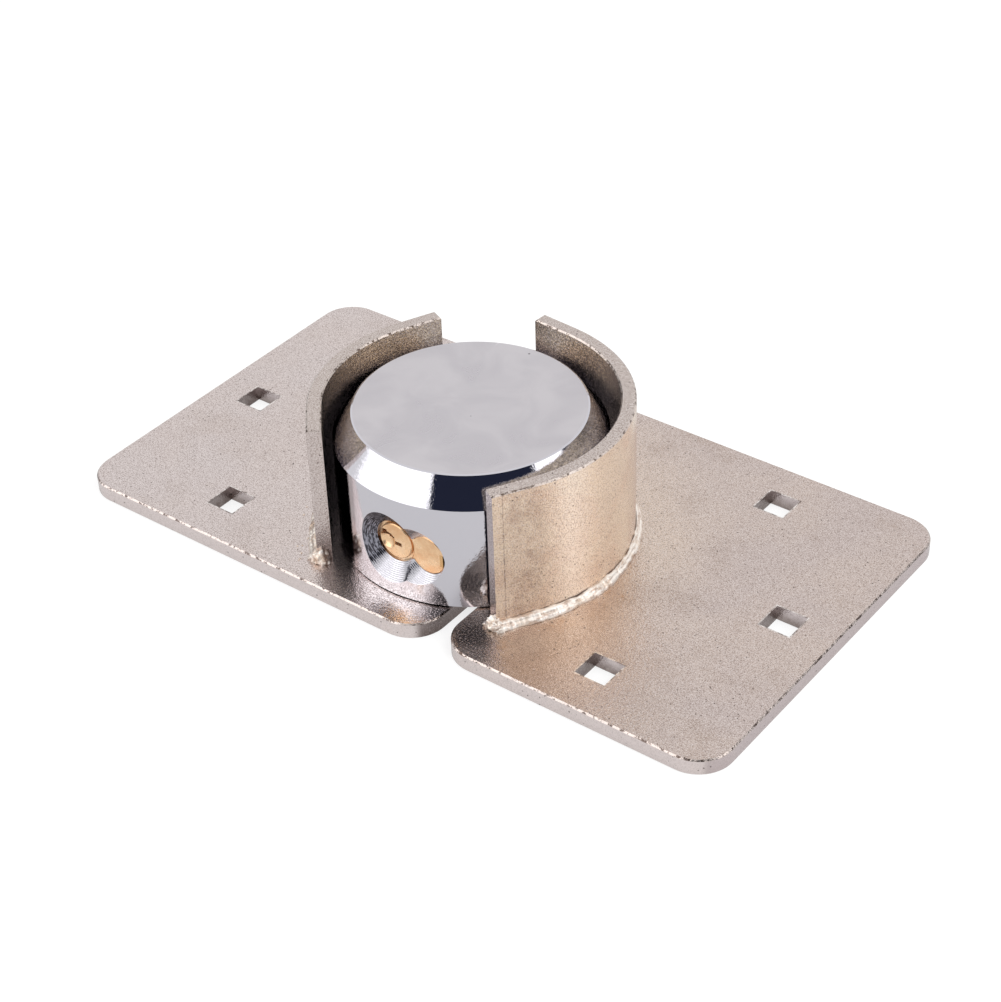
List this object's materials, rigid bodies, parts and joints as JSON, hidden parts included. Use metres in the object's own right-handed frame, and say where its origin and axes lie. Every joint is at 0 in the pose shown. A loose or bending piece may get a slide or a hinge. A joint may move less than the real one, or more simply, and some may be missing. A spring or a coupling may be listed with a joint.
{
  "type": "hasp and padlock",
  "caption": "Two-leaf door hasp with curved guards and a round hidden-bolt padlock; turning the key plug slides the bolt out of both eyes.",
  "frame": {"origin": "middle of the hasp's outline, on the face that meets the door", "axes": "+X along the hasp towards the right leaf, +Y away from the key side, +Z out from the door"},
  "size_m": [0.209, 0.115, 0.0456],
  "materials": {
    "nickel_plate": "satin nickel plate over hot-rolled steel",
    "weld_metal": "rough weld bead, plated",
    "hard_steel": "hardened steel, ground",
    "chrome_body": "polished side, satin top",
    "screw_steel": "zinc plated steel",
    "brass": "turned brass"
  },
  "bodies": {
    "hasp_and_case": {"left_leaf": "nickel_plate", "right_leaf": "nickel_plate", "left_guard": "nickel_plate", "right_guard": "nickel_plate", "left_guard_weld": "weld_metal", "right_guard_weld": "weld_metal", "left_eye": "hard_steel", "right_eye": "hard_steel", "lock_body": "chrome_body", "bore_plug": "chrome_body", "base_cover": "chrome_body", "cylinder_housing": "brass", "chamber_cover": "brass", "cylinder_grub_screw": "screw_steel", "base_screw_1": "screw_steel", "base_screw_2": "screw_steel", "base_screw_3": "screw_steel", "base_screw_4": "screw_steel", "driver_pin_1": "brass", "driver_pin_2": "brass", "driver_pin_3": "brass", "driver_pin_4": "brass", "driver_pin_5": "brass", "pin_spring_1": "screw_steel", "pin_spring_2": "screw_steel", "pin_spring_3": "screw_steel", "pin_spring_4": "screw_steel", "pin_spring_5": "screw_steel"},
    "plug": {"key_plug": "brass", "plug_clip": "screw_steel", "drive_pinion": "hard_steel", "pinion_screw": "screw_steel", "key_pin_1": "brass", "key_pin_2": "brass", "key_pin_3": "brass", "key_pin_4": "brass", "key_pin_5": "brass"},
    "bolt": {"lock_bolt": "hard_steel", "bolt_rack": "hard_steel"}
  },
  "joints": [
    {"name": "plug_turn", "type": "hinge", "parent": "hasp_and_case", "child": "plug", "pos_m": [0, -0.0449, 0.01905], "axis": [0, 1, 0], "range_deg": [0, 180]},
    {"name": "bolt_slide", "type": "slide", "parent": "hasp_and_case", "child": "bolt", "axis": [-1, 0, 0], "range_m": [0, 0.02042]}
  ],
  "couplings": [
    {"joint": "plug_turn", "follows": "bolt_slide", "rad_per_m": 153.85}
  ]
}
